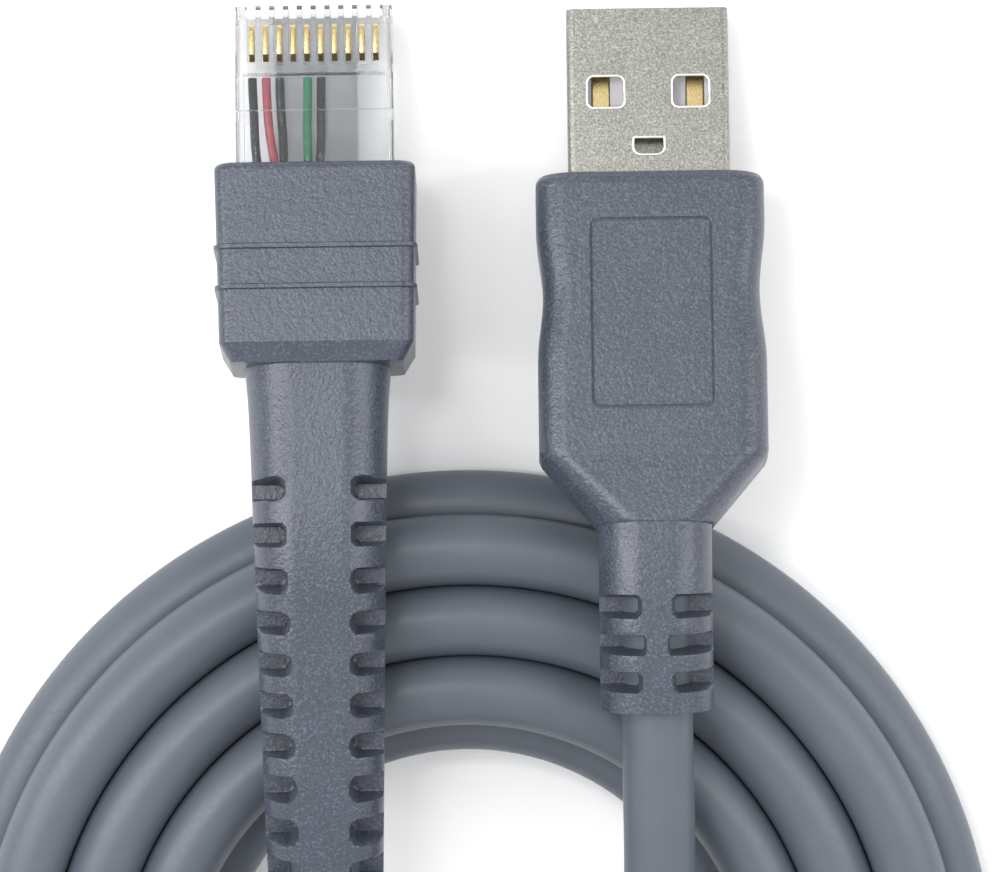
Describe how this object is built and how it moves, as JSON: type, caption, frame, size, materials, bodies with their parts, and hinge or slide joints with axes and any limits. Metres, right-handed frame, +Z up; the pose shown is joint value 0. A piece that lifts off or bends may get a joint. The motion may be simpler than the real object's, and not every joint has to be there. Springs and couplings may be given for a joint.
{
  "type": "barcode scanner usb cable",
  "caption": "Grey data cable in a neat coil, with a clear modular plug in a slotted boot on one end and a USB type A plug with a moulded grip on the other.",
  "frame": {"origin": "on the surface that the cable lies on, under the middle of the whole cable", "axes": "+Z up from the surface, +Y from the coil towards the two plug tips, +X from the modular plug towards the USB plug"},
  "size_m": [0.0796, 0.115, 0.0187],
  "materials": {
    "overmould_grey": "soft blue-grey moulded PVC, fine satin grain",
    "cable_grey": "smooth satin PVC jacket",
    "clear_plastic": "clear polished polycarbonate",
    "contact_gold": "gold plated",
    "shell_steel": "nickel plated, fine speckle",
    "insulator_white": "satin white",
    "wire_black": "glossy insulation",
    "wire_red": "glossy insulation",
    "wire_green": "glossy insulation"
  },
  "bodies": {
    "root": {"scanner_overmould": "overmould_grey", "usb_overmould": "overmould_grey", "cable_coil": "cable_grey", "cable_scanner_tail": "cable_grey", "cable_usb_tail": "cable_grey", "plug_housing": "clear_plastic", "plug_contact_1": "contact_gold", "plug_contact_2": "contact_gold", "plug_contact_3": "contact_gold", "plug_contact_4": "contact_gold", "plug_contact_5": "contact_gold", "plug_contact_6": "contact_gold", "plug_contact_7": "contact_gold", "plug_contact_8": "contact_gold", "plug_contact_9": "contact_gold", "plug_contact_10": "contact_gold", "usb_contact_1": "contact_gold", "usb_contact_2": "contact_gold", "usb_contact_3": "contact_gold", "usb_contact_4": "contact_gold", "plug_wire_black_1": "wire_black", "plug_wire_black_2": "wire_black", "plug_wire_black_3": "wire_black", "plug_wire_red": "wire_red", "plug_wire_green": "wire_green", "usb_shell": "shell_steel", "usb_insulator": "insulator_white"}
  },
  "joints": []
}
